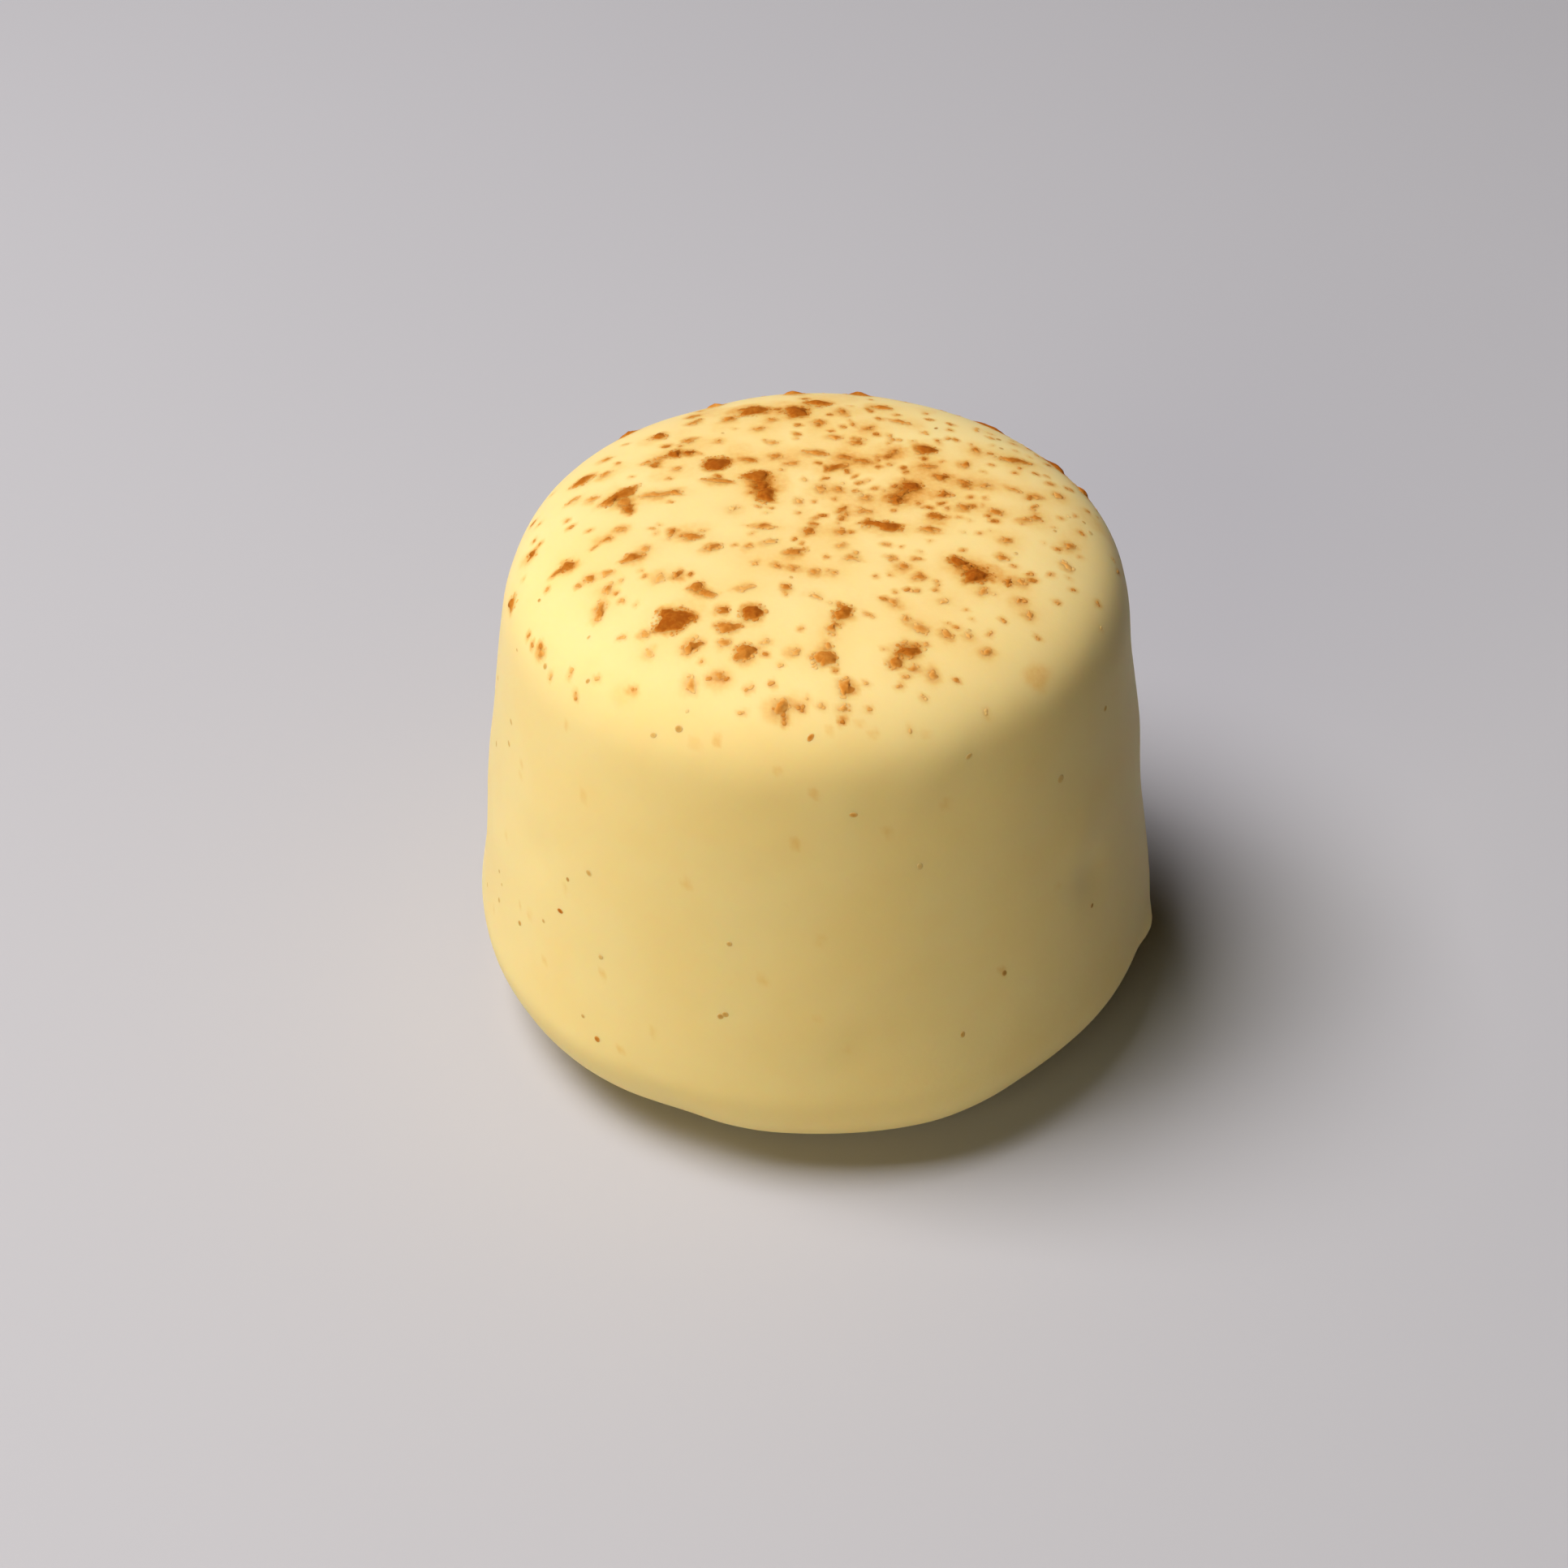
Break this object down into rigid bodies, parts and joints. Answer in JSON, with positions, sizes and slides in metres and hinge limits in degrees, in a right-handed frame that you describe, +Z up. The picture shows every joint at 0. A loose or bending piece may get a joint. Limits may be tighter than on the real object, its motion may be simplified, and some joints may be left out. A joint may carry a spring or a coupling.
{
  "type": "coated licorice candy",
  "caption": "Bite-size candy: a squat round drum with a wider foot and a low domed top, hand-dipped in a pale coating and dusted with orange-brown powder.",
  "frame": {"origin": "middle of the flat base, on the surface the candy stands on", "axes": "+Z up along the candy's own axis; the side shown best faces -Y, +X is to its right"},
  "size_m": [0.02, 0.0199, 0.0158],
  "materials": {
    "coating": "smooth, faintly glossy pale yellow confectionery coating",
    "powder": "dull, coarse orange-brown spice powder, in clumps, flakes and grains on the top"
  },
  "bodies": {
    "root": {"candy": "coating"}
  },
  "joints": []
}
